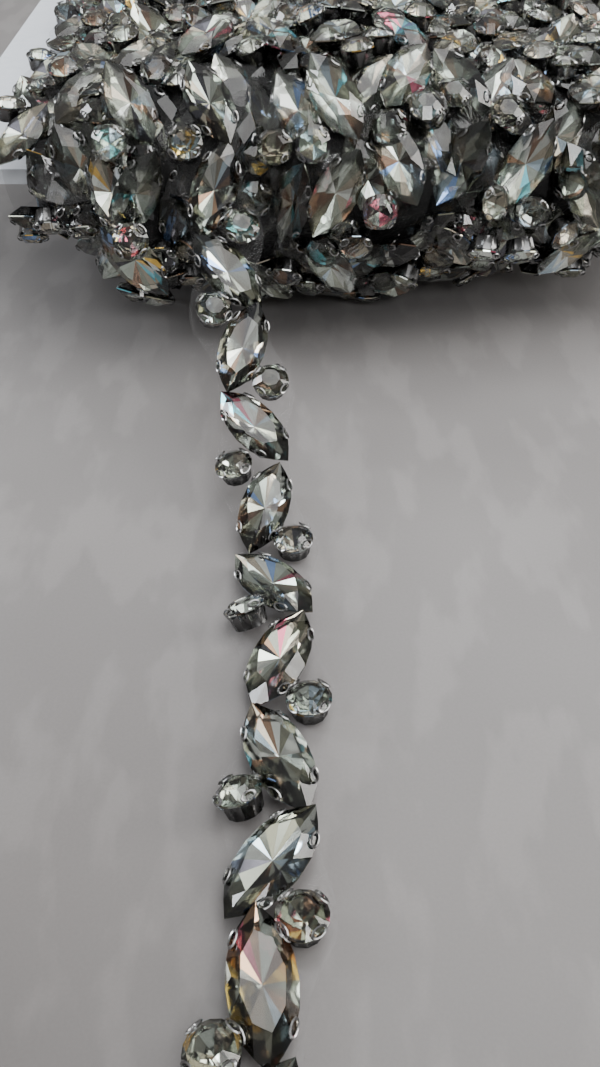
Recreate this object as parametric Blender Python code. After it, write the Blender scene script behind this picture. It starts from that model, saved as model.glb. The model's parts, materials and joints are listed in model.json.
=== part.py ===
# Rhinestone trim wound on a white card, with its loose end lying in front of the roll.
# Metres, +Z up. The card's length runs along X, the turns run round it in the YZ plane,
# and the loose end comes over the front of the roll and along the surface towards -Y.
# The origin is the middle of the flat spot that the roll rests on.

import math
import random

import bpy
import bmesh
import numpy as np
from mathutils import Matrix, Vector
from mathutils.geometry import delaunay_2d_cdt

MM = 0.001
GAP = 0.3 * MM

# Card
CARD_LENGTH = 174 * MM
CARD_DEPTH = 120 * MM
CARD_THICKNESS = 3 * MM
CARD_CORNER = 4 * MM

# Wound form: its outline is that of the outermost film, on which the stones stand
WINDING_WIDTH = 140 * MM
FILM_HALF_THICKNESS = 23 * MM
MIDDLE_HEIGHT = 27.5 * MM
FLAT_HALF_DEPTH = 54 * MM
END_REACH = 28 * MM
UPPER_FULLNESS = 2.3
LOWER_FULLNESS = 1.5
COURSES = 9
STONES_ROUND = 26
# Columns: x in millimetres, share of the full thickness that is wound on the card there
BARREL = (
    (-70, 0.30),
    (-60, 0.38),
    (-48, 0.62),
    (-36, 0.91),
    (-22, 1.0),
    (2, 0.98),
    (16, 0.84),
    (34, 0.72),
    (48, 0.62),
    (60, 0.50),
    (70, 0.38),
)
# A slack turn hangs out of the front, low down: its x, its height and how far it stands out
SLACK_X = -42 * MM
SLACK_HEIGHT = 20 * MM
SLACK_REACH = 6 * MM
SLACK_SPREAD = 7 * MM
SEED = 7
SLOT_HALF_DEPTH = CARD_DEPTH / 2 + 0.4 * MM
SLOT_HALF_HEIGHT = CARD_THICKNESS / 2 + GAP
SLOT_NOSE = 0.6 * MM
OUTLINE_CHORD = 1.5 * MM
# Columns: share of the way from the outer face in to the slot, how far that layer's edge stands out
LAYER_STEPS = ((0.2, 1.4 * MM), (0.3, -1.0 * MM), (0.5, 1.4 * MM), (0.62, -1.0 * MM))
FLAT_SPOT_HALF = 14 * MM

# Trim: pointed ovals tip to tip in a zigzag, a round stone in the notch beside each joint
PITCH = 14.6 * MM
LEAN = math.radians(28)
ROUND_OFFSET = 3.9 * MM
OVAL_HALF_LENGTH = 6.8 * MM
OVAL_HALF_WIDTH = 3.2 * MM
ROUND_RADIUS = 2.75 * MM

# Setting: how far its pocket and its outer wall stand outside the stone, and its heights
POCKET_CLEAR = 0.35 * MM
WALL = 0.3 * MM
TIP_SPREAD = 1.33
SETTING_FOOT = GAP
POCKET_FLOOR = 1.5 * MM
POCKET_RIM = 3.0 * MM
RIM = 3.35 * MM
CLAW_TIP = 4.15 * MM
CLAW_TOP = 4.6 * MM
STONE_KEEL = 1.85 * MM
GIRDLE = 3.1 * MM
TABLE = 4.75 * MM
KEEL_SCALE = 0.45
TABLE_SCALE = 0.6
FOOT_SCALE = 0.93
CLAW_TIP_SCALE = 0.84
CLAW_TOP_SCALE = 0.93

# Loose end: its film, and the middle line that it follows
FILM_THICKNESS = 1 * MM
FILM_NARROW = 5.0 * MM
FILM_BULGE = 3.0 * MM
FILM_STEP = 2.2 * MM
FIRST_STONE = 11.5 * MM
LOOSE_OVALS = 12
# Columns: x, y and z of the film's middle line, in millimetres
LOOSE_ROUTE = (
    (-26.8, -62.6, 49.1),
    (-27.4, -71.5, 46.2),
    (-27.5, -77.6, 41.9),
    (-27.2, -82.3, 35.4),
    (-26.2, -88.0, 28.8),
    (-24.4, -95.4, 21.8),
    (-22.0, -104.0, 15.4),
    (-20.4, -113.0, 9.8),
    (-18.6, -123.0, 4.6),
    (-17.4, -133.0, 1.6),
    (-16.2, -144.0, 0.5),
    (-14.8, -157.0, 0.5),
    (-14.6, -174.0, 0.5),
    (-15.2, -192.0, 0.5),
    (-16.4, -208.0, 0.5),
    (-16.6, -228.0, 0.5),
)

# Relief on the wound form, above the outermost film
RELIEF_RIM = 0.9 * MM
RELIEF_TABLE = 4.1 * MM
RELIEF_VALLEY = -1.4 * MM
RELIEF_FILM = 0.0
RELIEF_OVAL = (6.9 * MM, 3.5 * MM)
RELIEF_ROUND = 2.9 * MM
NOTCH_OFFSET = 6.0 * MM
STONE_SLOPE = 0.16
STONE_TWIST = 4
TURN_SWAY = 1.0 * MM
TURN_RISE = 1.1 * MM
BED_DEPTH = -2.2 * MM
BED_HALF_WIDTH = 9.9 * MM
BED_BACK = -58.6 * MM
BED_LOWEST = 22 * MM
BED_MARGIN = 3.4 * MM


def clear_scene():
    for obj in list(bpy.data.objects):
        bpy.data.objects.remove(obj, do_unlink=True)


def make_material(name, colour, roughness, metallic=0.0):
    material = bpy.data.materials.new(name)
    material.use_nodes = True
    shader = material.node_tree.nodes["Principled BSDF"]
    shader.inputs["Base Color"].default_value = (*colour, 1.0)
    shader.inputs["Roughness"].default_value = roughness
    shader.inputs["Metallic"].default_value = metallic
    material.diffuse_color = (*colour, 1.0)
    return material


def add_object(name, mesh, material, collection, parent):
    obj = bpy.data.objects.new(name, mesh)
    collection.objects.link(obj)
    obj.parent = parent
    if not mesh.materials:
        mesh.materials.append(material)
    return obj


def mesh_from_rings(name, rings):
    """One closed body: rings of equal count, each joined to the next, with both ends capped."""
    shape = bmesh.new()
    rows = [[shape.verts.new(point) for point in ring] for ring in rings]
    count = len(rows[0])
    for lower, upper in zip(rows, rows[1:]):
        for i in range(count):
            j = (i + 1) % count
            shape.faces.new((lower[i], lower[j], upper[j], upper[i]))
    shape.faces.new(rows[0])
    shape.faces.new(rows[-1])
    bmesh.ops.recalc_face_normals(shape, faces=shape.faces)
    mesh = bpy.data.meshes.new(name)
    shape.to_mesh(mesh)
    shape.free()
    return mesh


# Card


def build_card(material, collection, parent):
    shape = bmesh.new()
    bmesh.ops.create_cube(shape, size=1.0)
    bmesh.ops.scale(shape, vec=(CARD_LENGTH, CARD_DEPTH, CARD_THICKNESS), verts=shape.verts)
    upright = [e for e in shape.edges if abs(e.verts[0].co.z - e.verts[1].co.z) > CARD_THICKNESS / 2]
    bmesh.ops.bevel(shape, geom=upright, offset=CARD_CORNER, segments=3, affect="EDGES", profile=0.5)
    mesh = bpy.data.meshes.new("card")
    shape.to_mesh(mesh)
    shape.free()
    card = add_object("card", mesh, material, collection, parent)
    card.location.z = MIDDLE_HEIGHT
    return card


# Wound form


def winding_outline():
    """The outermost film's section, as points with the length along it, from the bottom
    centre to the front, over the top and down the back."""
    front = []
    for turn in np.linspace(-math.pi / 2, math.pi / 2, 121):
        power = 2 / (UPPER_FULLNESS if turn > 0 else LOWER_FULLNESS)
        reach = END_REACH * abs(math.cos(turn)) ** power
        rise = FILM_HALF_THICKNESS * math.copysign(abs(math.sin(turn)) ** power, math.sin(turn))
        front.append((-FLAT_HALF_DEPTH - reach, MIDDLE_HEIGHT + rise))
    back = [(-y, z) for y, z in reversed(front)]
    start = (0.0, MIDDLE_HEIGHT - FILM_HALF_THICKNESS)
    points = np.array([start, *front, *back, start])
    lengths = np.concatenate([[0.0], np.cumsum(np.hypot(*np.diff(points, axis=0).T))])
    return points, lengths


OUTLINE, OUTLINE_LENGTHS = winding_outline()
ROUND_LENGTH = OUTLINE_LENGTHS[-1]
CELL = ROUND_LENGTH / STONES_ROUND
COURSE_WIDTH = WINDING_WIDTH / COURSES


def outline_point(along):
    """The outline's y and z at this length along it."""
    along = along % ROUND_LENGTH
    y = np.interp(along, OUTLINE_LENGTHS, OUTLINE[:, 0])
    z = np.interp(along, OUTLINE_LENGTHS, OUTLINE[:, 1])
    return np.array([y, z])


def winding_point(along, x):
    """The outermost film's y and z here: the winding is thinner towards the card's ends."""
    outer = outline_point(along)
    half = CARD_DEPTH / 2
    flattened = (outer[1] - MIDDLE_HEIGHT) * SLOT_HALF_HEIGHT / FILM_HALF_THICKNESS
    inner = np.array([max(-half, min(half, outer[0])), MIDDLE_HEIGHT + flattened])
    share = np.interp(x / MM, [row[0] for row in BARREL], [row[1] for row in BARREL])
    return inner + (outer - inner) * share


def winding_frame(along, x):
    """The film's point here, and the direction out of the roll there."""
    run = winding_point(along + OUTLINE_CHORD, x) - winding_point(along - OUTLINE_CHORD, x)
    run = run / np.linalg.norm(run)
    return winding_point(along, x), np.array([-run[1], run[0]])


def turn_sway(along, x):
    """How far a turn wanders sideways here; the waves' phases shift from course to course."""
    wave = 2 * math.pi * along / ROUND_LENGTH
    return TURN_SWAY * math.sin(2 * wave + 55 * x) * math.cos(wave - 31 * x)


def turn_rise(along, x):
    """How far a turn stands out or sinks here, as uneven hand winding does."""
    wave = 2 * math.pi * along / ROUND_LENGTH
    ripple = 0.6 * math.sin(wave + 140 * x) + 0.4 * math.sin(3 * wave - 230 * x + 1)
    y, z = outline_point(along)
    low_front = y < -FLAT_HALF_DEPTH and z < MIDDLE_HEIGHT
    off = math.hypot(x - SLACK_X, z - SLACK_HEIGHT) / SLACK_SPREAD
    slack = SLACK_REACH * math.exp(-(off**2)) if low_front else 0.0
    return TURN_RISE * ripple + slack


def bed_middle(y):
    """The x of the loose end's middle line above this y."""
    return np.interp(-y, [-row[1] * MM for row in LOOSE_ROUTE], [row[0] * MM for row in LOOSE_ROUTE])


def in_bed(x, y, z, margin=0.0):
    """Whether a point lies under the loose end, which is the last turn and leaves the roll."""
    near = abs(x - bed_middle(y)) < BED_HALF_WIDTH + margin
    return y < BED_BACK and z > BED_LOWEST and near


def bed_marks():
    """A close grid under the loose end, so that the stones beside it don't reach under it."""
    marks = []
    for step in range(1, 4 * STONES_ROUND):
        along = step * CELL / 4
        y, _ = outline_point(along)
        y, z = winding_point(along, bed_middle(y))
        if not in_bed(bed_middle(y), y, z):
            continue
        for share in (-1, -0.5, 0, 0.5, 1):
            x = bed_middle(y) + share * (BED_HALF_WIDTH - 0.3 * MM)
            marks.append((along, x - turn_sway(along, x), BED_DEPTH))
    return marks


def on_winding(along, x, relief):
    """A point of the wound form's surface, with its relief above the outermost film."""
    x = x + turn_sway(along, x)
    point, out = winding_frame(along, x)
    if in_bed(x, *point):
        y, z = point + out * min(relief, BED_DEPTH)
        return Vector((x, y, z))
    y, z = point + out * (relief + turn_rise(along, x))
    in_spot = abs(x) < FLAT_SPOT_HALF and abs(y) < FLAT_SPOT_HALF and z < MIDDLE_HEIGHT
    return Vector((x, y, 0.0 if in_spot else max(z, 0.0)))


def stone_marks(centre, half_length, half_width, outline, table, turn, slopes):
    """A raised stone: rows of length along, x and relief for its rim and for its table."""
    cos, sin = math.cos(turn), math.sin(turn)
    marks = []
    for shape, relief in ((outline, RELIEF_RIM), (table, RELIEF_TABLE)):
        ring = []
        for a, b in shape:
            a, b = a * half_length, b * half_width
            du, dx = a * cos - b * sin, a * sin + b * cos
            ring.append((centre[0] + du, centre[1] + dx, relief + slopes[0] * du + slopes[1] * dx))
        marks.append(ring)
    return marks


def winding_marks():
    """The points of the wound form's face, and the edges that its stones' rims keep."""
    chance = random.Random(SEED)
    oval_rim = ((-1, 0), (-0.5, -0.8), (0.5, -0.8), (1, 0), (0.5, 0.8), (-0.5, 0.8))
    oval_table = ((-0.66, 0), (0, -0.55), (0.66, 0), (0, 0.55))
    round_rim = [(math.cos(a), math.sin(a)) for a in np.radians(np.arange(0, 360, 60))]
    round_table = [(0.6 * math.cos(a), 0.6 * math.sin(a)) for a in np.radians((30, 150, 270))]
    marks, edges = [], []

    def add_ring(ring):
        first = len(marks)
        marks.extend(ring)
        edges.extend((first + i, first + (i + 1) % len(ring)) for i in range(len(ring)))

    for course in range(COURSES):
        middle = (course + 0.5) * COURSE_WIDTH - WINDING_WIDTH / 2
        for stone in range(STONES_ROUND):
            side = 1 if (stone + course) % 2 else -1
            turn = side * LEAN + math.radians(chance.uniform(-STONE_TWIST, STONE_TWIST))
            slopes = [chance.uniform(-STONE_SLOPE, STONE_SLOPE) for _ in range(2)]
            centre = ((stone + 0.5) * CELL, middle)
            if not in_bed(middle, *winding_point(centre[0], middle), BED_MARGIN):
                rim, table = stone_marks(
                    centre, RELIEF_OVAL[0], RELIEF_OVAL[1], oval_rim, oval_table, turn, slopes
                )
                add_ring(rim)
                add_ring(table)
            centre = (stone * CELL, middle + side * ROUND_OFFSET)
            if stone == 0 or in_bed(centre[1], *winding_point(*centre), BED_MARGIN):
                continue
            slopes = [chance.uniform(-STONE_SLOPE, STONE_SLOPE) for _ in range(2)]
            rim, table = stone_marks(
                centre, RELIEF_ROUND, RELIEF_ROUND, round_rim, round_table, turn, slopes
            )
            add_ring(rim)
            add_ring(table)
            marks.append((stone * CELL, middle - side * NOTCH_OFFSET, RELIEF_FILM))
    for border in range(COURSES + 1):
        x = border * COURSE_WIDTH - WINDING_WIDTH / 2
        for step in range(2 * STONES_ROUND):
            marks.append((step * CELL / 2, x, RELIEF_VALLEY))
        marks.append((ROUND_LENGTH, x, RELIEF_VALLEY))
    for course in range(COURSES):
        x = (course + 0.5) * COURSE_WIDTH - WINDING_WIDTH / 2
        marks.append((0.0, x, RELIEF_RIM))
        marks.append((ROUND_LENGTH, x, RELIEF_RIM))
    return marks + bed_marks(), edges


def slot_point(step):
    """The slot's point that faces this half stone's step round the outline."""
    half = STONES_ROUND
    quarter = half // 2
    upper = quarter < step < half + quarter
    place = step % half
    if place == quarter:
        side = -1 if step == quarter else 1
        return side * (SLOT_HALF_DEPTH + SLOT_NOSE), 0.0
    reach = SLOT_HALF_DEPTH * (place if place < quarter else half - place) / (quarter - 1)
    towards_front = step < half
    y = -reach if towards_front else reach
    return y, SLOT_HALF_HEIGHT if upper else -SLOT_HALF_HEIGHT


def build_wound_trim(material, collection, parent):
    marks, edges = winding_marks()
    flat = [Vector((u, x)) for u, x, _ in marks]
    points, _, triangles, sources, _, _ = delaunay_2d_cdt(flat, edges, [], 0, 1e-7)
    shape = bmesh.new()
    corners = []
    verts = {}
    for point, source in zip(points, sources):
        u, x, relief = marks[source[0]] if source else (*point, RELIEF_RIM)
        key = (round(0.0 if u == ROUND_LENGTH else u, 6), round(x, 6))
        if key not in verts:
            verts[key] = shape.verts.new(on_winding(key[0], x, relief))
        corners.append(verts[key])
    for triangle in triangles:
        shape.faces.new([corners[i] for i in triangle])
    half = WINDING_WIDTH / 2
    count = 2 * STONES_ROUND
    slots = []
    for end in (-1, 1):
        ring = [verts[(round(step * CELL / 2, 6), round(end * half, 6))] for step in range(count)]
        slot = [slot_point(step) for step in range(count)]
        outer = [vert.co.copy() for vert in ring]
        for share, proud in (*LAYER_STEPS, (1.0, 0.0)):
            inner = []
            for point, (slot_y, slot_z) in zip(outer, slot):
                y = point.y + (slot_y - point.y) * share
                z = point.z + (MIDDLE_HEIGHT + slot_z - point.z) * share
                inner.append(shape.verts.new((end * (half + proud), y, z)))
            for i in range(count):
                j = (i + 1) % count
                shape.faces.new((ring[i], ring[j], inner[j], inner[i]))
            ring = inner
        slots.append(ring)
    for i in range(count):
        j = (i + 1) % count
        shape.faces.new((slots[0][i], slots[0][j], slots[1][j], slots[1][i]))
    bmesh.ops.recalc_face_normals(shape, faces=shape.faces)
    mesh = bpy.data.meshes.new("wound_trim")
    shape.to_mesh(mesh)
    shape.free()
    return add_object("wound_trim", mesh, material, collection, parent)


# Loose end


def loose_line():
    """The loose film's middle line as closely spaced points, with the length along it."""
    route = [Vector(row) * MM for row in LOOSE_ROUTE]
    route = [2 * route[0] - route[1], *route, 2 * route[-1] - route[-2]]
    points = []
    for before, start, end, after in zip(route, route[1:], route[2:], route[3:]):
        for t in np.linspace(0, 1, 25)[:-1]:
            point = 0.5 * (
                2 * start
                + (end - before) * t
                + (2 * before - 5 * start + 4 * end - after) * t**2
                + (3 * start - before - 3 * end + after) * t**3
            )
            point.z = max(point.z, FILM_THICKNESS / 2)
            points.append(point)
    points.append(route[-2])
    points = np.array(points)
    lengths = np.concatenate([[0.0], np.cumsum(np.linalg.norm(np.diff(points, axis=0), axis=1))])
    return points, lengths


LINE, LINE_LENGTHS = loose_line()


def line_point(along):
    return Vector([np.interp(along, LINE_LENGTHS, LINE[:, axis]) for axis in range(3)])


def line_frame(along, reach=2 * MM):
    """Place, direction, right hand side and up of the loose film at this length along it.
    The place is lifted to the chord over this reach where the film is hollow there."""
    place = line_point(along)
    ahead, behind = line_point(along + reach), line_point(along - reach)
    run = (ahead - behind).normalized()
    right = run.cross(Vector((0, 0, 1))).normalized()
    if right.x < 0:
        right.negate()
    up = right.cross(run)
    if up.z < 0:
        up.negate()
    hollow = ((ahead + behind) / 2 - place).dot(up)
    return place + up * max(hollow, 0.0), run, right, up


def film_reach(along, side):
    """How far the film reaches from its middle line: out round each round stone on this side."""
    joint = (along - FIRST_STONE) / PITCH - 0.5
    phase = 0.0 if side < 0 else 0.5
    nearness = 0.5 + 0.5 * math.cos(math.pi * (joint - 2 * phase))
    return FILM_NARROW + FILM_BULGE * nearness**2


def build_loose_film(material, collection, parent):
    length = LINE_LENGTHS[-1]
    steps = round(length / FILM_STEP)
    half = FILM_THICKNESS / 2
    rings = []
    for step in range(steps + 1):
        along = length * step / steps
        _, _, right, up = line_frame(along)
        place = line_point(along)
        left_edge = place - right * film_reach(along, -1)
        right_edge = place + right * film_reach(along, 1)
        below = (left_edge - up * half, right_edge - up * half)
        above = (right_edge + up * half, left_edge + up * half)
        rings.append((*below, *above))
    mesh = mesh_from_rings("loose_film", rings)
    return add_object("loose_film", mesh, material, collection, parent)


def pointed_oval(half_length, half_width):
    """Two arcs that meet in points: corners every few degrees, with four of them for claws."""
    shares = (-0.8, -0.58, -0.34, 0.34, 0.58, 0.8)
    radius = (half_length**2 + half_width**2) / (2 * half_width)
    upper = []
    for share in shares:
        a = share * half_length
        upper.append((a, math.sqrt(radius**2 - a**2) - radius + half_width))
    lower = [(-a, -b) for a, b in upper]
    return [(-half_length, 0.0), *upper, (half_length, 0.0), *lower]


def circle(half_length, half_width):
    return [
        (half_length * math.cos(a), half_width * math.sin(a))
        for a in (math.radians(15 + 30 * i) for i in range(12))
    ]


OVAL_CLAWS = (2, 5, 9, 12)
ROUND_CLAWS = (1, 4, 7, 10)


def setting_mesh(name, outline, half_length, half_width, spread, claws):
    """A cup with a pocket for the stone, and claws that lean in over the stone's edge."""

    def grown(by):
        return outline(half_length + by * spread, half_width + by)

    def ring(outer, scale, height, claw_outer=None, claw_scale=None, claw_height=None):
        points = []
        for i, (a, b) in enumerate(outer):
            if claw_outer and i in claws:
                a, b = claw_outer[i]
                points.append(Vector((a * claw_scale, b * claw_scale, claw_height)))
            else:
                points.append(Vector((a * scale, b * scale, height)))
        return points

    stone = grown(0)
    pocket = grown(POCKET_CLEAR)
    wall = grown(POCKET_CLEAR + WALL)
    rings = (
        ring(wall, FOOT_SCALE, SETTING_FOOT),
        ring(wall, 1.0, RIM, wall, CLAW_TOP_SCALE, CLAW_TOP),
        ring(pocket, 1.0, RIM, stone, CLAW_TIP_SCALE, CLAW_TIP),
        ring(pocket, 1.0, POCKET_RIM),
        ring(pocket, 0.85, POCKET_FLOOR),
    )
    return mesh_from_rings(name, rings)


def stone_mesh(name, outline, half_length, half_width):
    """Cut glass: a keel below, the widest edge, and a flat table on top."""
    rings = []
    for scale, height in ((KEEL_SCALE, STONE_KEEL), (1.0, GIRDLE), (TABLE_SCALE, TABLE)):
        rings.append(
            [Vector((a * scale, b * scale, height)) for a, b in outline(half_length, half_width)]
        )
    return mesh_from_rings(name, rings)


def stone_place(along, sideways, turn, foot):
    """The frame of a stone that stands on the loose film, with its foot this long each way."""
    place, run, right, up = line_frame(along, foot)
    long_way = run * math.cos(turn) + right * math.sin(turn)
    across = up.cross(long_way)
    origin = place + right * sideways + up * FILM_THICKNESS / 2
    rotation = Matrix((long_way, across, up)).transposed().to_4x4()
    return Matrix.Translation(origin) @ rotation


def build_loose_stones(metal, glass, collection, parent):
    oval_setting = setting_mesh(
        "oval_setting", pointed_oval, OVAL_HALF_LENGTH, OVAL_HALF_WIDTH, TIP_SPREAD, OVAL_CLAWS
    )
    oval_stone = stone_mesh("oval_stone", pointed_oval, OVAL_HALF_LENGTH, OVAL_HALF_WIDTH)
    round_setting = setting_mesh(
        "round_setting", circle, ROUND_RADIUS, ROUND_RADIUS, 1.0, ROUND_CLAWS
    )
    round_stone = stone_mesh("round_stone", circle, ROUND_RADIUS, ROUND_RADIUS)
    for index in range(LOOSE_OVALS):
        side = 1 if index % 2 == 0 else -1
        place = stone_place(FIRST_STONE + index * PITCH, 0.0, side * LEAN, OVAL_HALF_LENGTH)
        number = f"{index + 1:02d}"
        setting = add_object("oval_setting_" + number, oval_setting, metal, collection, parent)
        stone = add_object("oval_stone_" + number, oval_stone, glass, collection, parent)
        setting.matrix_world = place
        stone.matrix_world = place
        if index == LOOSE_OVALS - 1:
            continue
        along = FIRST_STONE + (index + 0.5) * PITCH
        place = stone_place(along, -side * ROUND_OFFSET, 0.0, ROUND_RADIUS)
        setting = add_object("round_setting_" + number, round_setting, metal, collection, parent)
        stone = add_object("round_stone_" + number, round_stone, glass, collection, parent)
        setting.matrix_world = place
        stone.matrix_world = place


def main():
    clear_scene()
    collection = bpy.data.collections.new("rhinestone_trim")
    bpy.context.scene.collection.children.link(collection)
    root = bpy.data.objects.new("rhinestone_trim_root", None)
    collection.objects.link(root)
    white_card = make_material("white_card", (0.86, 0.87, 0.88), 0.55)
    clear_film = make_material("clear_film", (0.72, 0.73, 0.74), 0.2)
    silver = make_material("silver_setting", (0.42, 0.42, 0.43), 0.25, 1.0)
    crystal = make_material("crystal", (0.85, 0.87, 0.88), 0.03)
    mixed = make_material("wound_crystal", (0.55, 0.55, 0.55), 0.2, 0.6)
    build_card(white_card, collection, root)
    build_wound_trim(mixed, collection, root)
    build_loose_film(clear_film, collection, root)
    build_loose_stones(silver, crystal, collection, root)


main()
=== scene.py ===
# %% [markdown]
# # Rhinestone trim on a card
# The object is a haberdashery trim: pointed-oval and round cut stones in silver claw
# settings, fixed to a narrow clear film and wound in many courses on a white card. The
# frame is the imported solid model, so every piece made here is placed by its sizes.

# %% Load the frame
import json
import math

import bpy
import numpy as np
from mathutils import Matrix, Vector

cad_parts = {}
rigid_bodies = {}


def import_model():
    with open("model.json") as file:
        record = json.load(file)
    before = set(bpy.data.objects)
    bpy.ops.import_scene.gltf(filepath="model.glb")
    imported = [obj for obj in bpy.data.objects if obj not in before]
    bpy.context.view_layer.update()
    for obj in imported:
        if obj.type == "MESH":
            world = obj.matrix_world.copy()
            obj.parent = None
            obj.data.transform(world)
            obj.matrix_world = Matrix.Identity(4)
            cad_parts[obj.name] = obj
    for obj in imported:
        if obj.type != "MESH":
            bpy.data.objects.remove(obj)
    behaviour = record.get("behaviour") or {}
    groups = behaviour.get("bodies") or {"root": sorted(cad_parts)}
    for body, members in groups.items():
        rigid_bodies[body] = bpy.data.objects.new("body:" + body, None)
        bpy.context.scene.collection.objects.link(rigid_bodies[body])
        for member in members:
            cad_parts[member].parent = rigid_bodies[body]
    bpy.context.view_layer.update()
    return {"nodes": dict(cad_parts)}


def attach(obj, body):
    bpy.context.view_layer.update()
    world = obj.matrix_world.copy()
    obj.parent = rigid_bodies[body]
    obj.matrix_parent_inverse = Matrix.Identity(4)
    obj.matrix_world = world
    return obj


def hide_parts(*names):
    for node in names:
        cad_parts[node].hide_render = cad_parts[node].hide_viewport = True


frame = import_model()
MM = 0.001
TINY = 0.01 * MM

# %% [markdown]
# ## Camera
# The view looks down at 45 degrees, square to the card, from about a hand's breadth
# above the surface. A short lens that near makes the loose end widen towards the viewer,
# so the camera's place matters more than its lens. Its near clipping distance is small,
# because the nearest stones are only a few centimetres away.

# %% Camera
VIEW_PITCH = 45
VIEW_PLACE = (-12 * MM, -237 * MM, 104 * MM)
PHOTO_TALL = 1067
FOCAL_PIXELS = 900

eye = bpy.data.cameras.new("view")
eye.sensor_width = 36
eye.lens = eye.sensor_width * FOCAL_PIXELS / PHOTO_TALL
eye.clip_start = 0.005
camera = bpy.data.objects.new("view", eye)
camera.location = VIEW_PLACE
camera.rotation_euler = (math.radians(90 - VIEW_PITCH), 0, 0)
bpy.context.scene.collection.objects.link(camera)
bpy.context.scene.camera = camera
print("lens in millimetres:", round(eye.lens, 2))

# %% [markdown]
# ## Floor and light
# Cut glass only looks like glass when it has something to reflect: bright panels and dark
# gaps between them. So the studio has a broad soft panel above, a smaller one at the
# right, a low strip at the left, a weak one in front, and a world that is darker low down
# than overhead.

# %% Helpers for materials
def new_material(name):
    material = bpy.data.materials.new(name)
    material.use_nodes = True
    nodes = material.node_tree.nodes
    return material, nodes, material.node_tree.links, nodes["Principled BSDF"]


def add_noise(nodes, links, scale, detail, vector=None):
    noise = nodes.new("ShaderNodeTexNoise")
    noise.inputs["Scale"].default_value = scale
    noise.inputs["Detail"].default_value = detail
    if vector is None:
        vector = nodes.new("ShaderNodeTexCoord").outputs["Object"]
    links.new(vector, noise.inputs["Vector"])
    return noise.outputs["Fac"]


def add_ramp(nodes, links, factor, stops):
    ramp = nodes.new("ShaderNodeValToRGB")
    ramp.color_ramp.elements[0].position, ramp.color_ramp.elements[0].color = stops[0]
    ramp.color_ramp.elements[1].position, ramp.color_ramp.elements[1].color = stops[-1]
    for place, colour in stops[1:-1]:
        ramp.color_ramp.elements.new(place).color = colour
    links.new(factor, ramp.inputs["Fac"])
    return ramp.outputs["Color"]


def add_bump(nodes, links, shader, height, strength, distance):
    bump = nodes.new("ShaderNodeBump")
    bump.inputs["Strength"].default_value = strength
    bump.inputs["Distance"].default_value = distance
    links.new(height, bump.inputs["Height"])
    links.new(bump.outputs["Normal"], shader.inputs["Normal"])


def grey(value, warm=0.0):
    return (value + warm, value, value - warm, 1.0)


# %% Floor
PATCH_STRETCH = (1.5, 0.6, 1.0)
# Where the painted shade on the surface's near part is darkest and where it ends, in stretched
# metres
DARKEST_PLACE = -0.13
CLEAR_PLACE = -0.08


def pale_surface():
    """A plain pale surface, a little cloudy, with soft lighter patches, fine specks and painted
    shade on its near part.
    """
    material, nodes, links, shader = new_material("pale_surface")
    stretch = nodes.new("ShaderNodeMapping")
    stretch.inputs["Scale"].default_value = PATCH_STRETCH
    links.new(nodes.new("ShaderNodeTexCoord").outputs["Object"], stretch.inputs["Vector"])
    cloud = add_noise(nodes, links, 14, 3)
    patch = add_noise(nodes, links, 80, 3, stretch.outputs["Vector"])
    speck = add_noise(nodes, links, 2400, 1)
    tones = ((0.35, (0.262, 0.25, 0.248, 1)), (0.65, (0.30, 0.288, 0.286, 1)))
    tone = add_ramp(nodes, links, cloud, tones)
    lighter = add_ramp(nodes, links, patch, ((0.5, grey(0.88)), (0.58, grey(1.0))))
    grain = add_ramp(nodes, links, speck, ((0.3, grey(0.95)), (0.7, grey(1.0))))
    split = nodes.new("ShaderNodeSeparateXYZ")
    links.new(stretch.outputs["Vector"], split.inputs["Vector"])
    # Painted shade: the surface is darkened towards the viewer, from the darkest place to the clear
    # one.
    depth = nodes.new("ShaderNodeMapRange")
    depth.inputs["From Min"].default_value = DARKEST_PLACE
    depth.inputs["From Max"].default_value = CLEAR_PLACE
    links.new(split.outputs["Y"], depth.inputs["Value"])
    darker = ((0.0, grey(0.55, 0.01)), (0.3, grey(0.72, 0.01)), (0.7, grey(0.9)), (1.0, grey(1.0)))
    near_painted_shade = add_ramp(nodes, links, depth.outputs["Result"], darker)
    for layer in (lighter, grain, near_painted_shade):
        mix = nodes.new("ShaderNodeMix")
        mix.data_type = "RGBA"
        mix.blend_type = "MULTIPLY"
        mix.inputs["Factor"].default_value = 1.0
        links.new(tone, mix.inputs[6])
        links.new(layer, mix.inputs[7])
        tone = mix.outputs[2]
    links.new(tone, shader.inputs["Base Color"])
    shader.inputs["Roughness"].default_value = 0.34
    return material


bpy.ops.mesh.primitive_plane_add(size=4, location=(0, 0, -0.1 * MM))
floor = bpy.context.object
floor.name = "floor"
floor.data.materials.append(pale_surface())

# %% Lights
def add_panel(name, place, target, size, watts, colour=(1, 1, 1)):
    light = bpy.data.lights.new(name, "AREA")
    light.shape = "RECTANGLE"
    light.size, light.size_y = size
    light.energy = watts
    light.color = colour
    panel = bpy.data.objects.new(name, light)
    panel.location = place
    panel.rotation_euler = (Vector(target) - Vector(place)).to_track_quat("-Z", "Y").to_euler()
    bpy.context.scene.collection.objects.link(panel)


add_panel("overhead", (0.2, -0.1, 0.66), (0, -0.06, 0), (0.8, 0.56), 5.4)
add_panel("right", (0.62, -0.1, 0.34), (0, -0.1, 0), (0.26, 0.4), 3.6, (1, 0.975, 0.94))
add_panel("left", (-0.6, 0.0, 0.36), (-0.05, -0.06, 0), (0.1, 0.3), 2.0, (0.92, 0.96, 1))
add_panel("front", (0.1, -0.62, 0.42), (0, -0.06, 0.02), (0.2, 0.1), 1.0)

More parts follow.
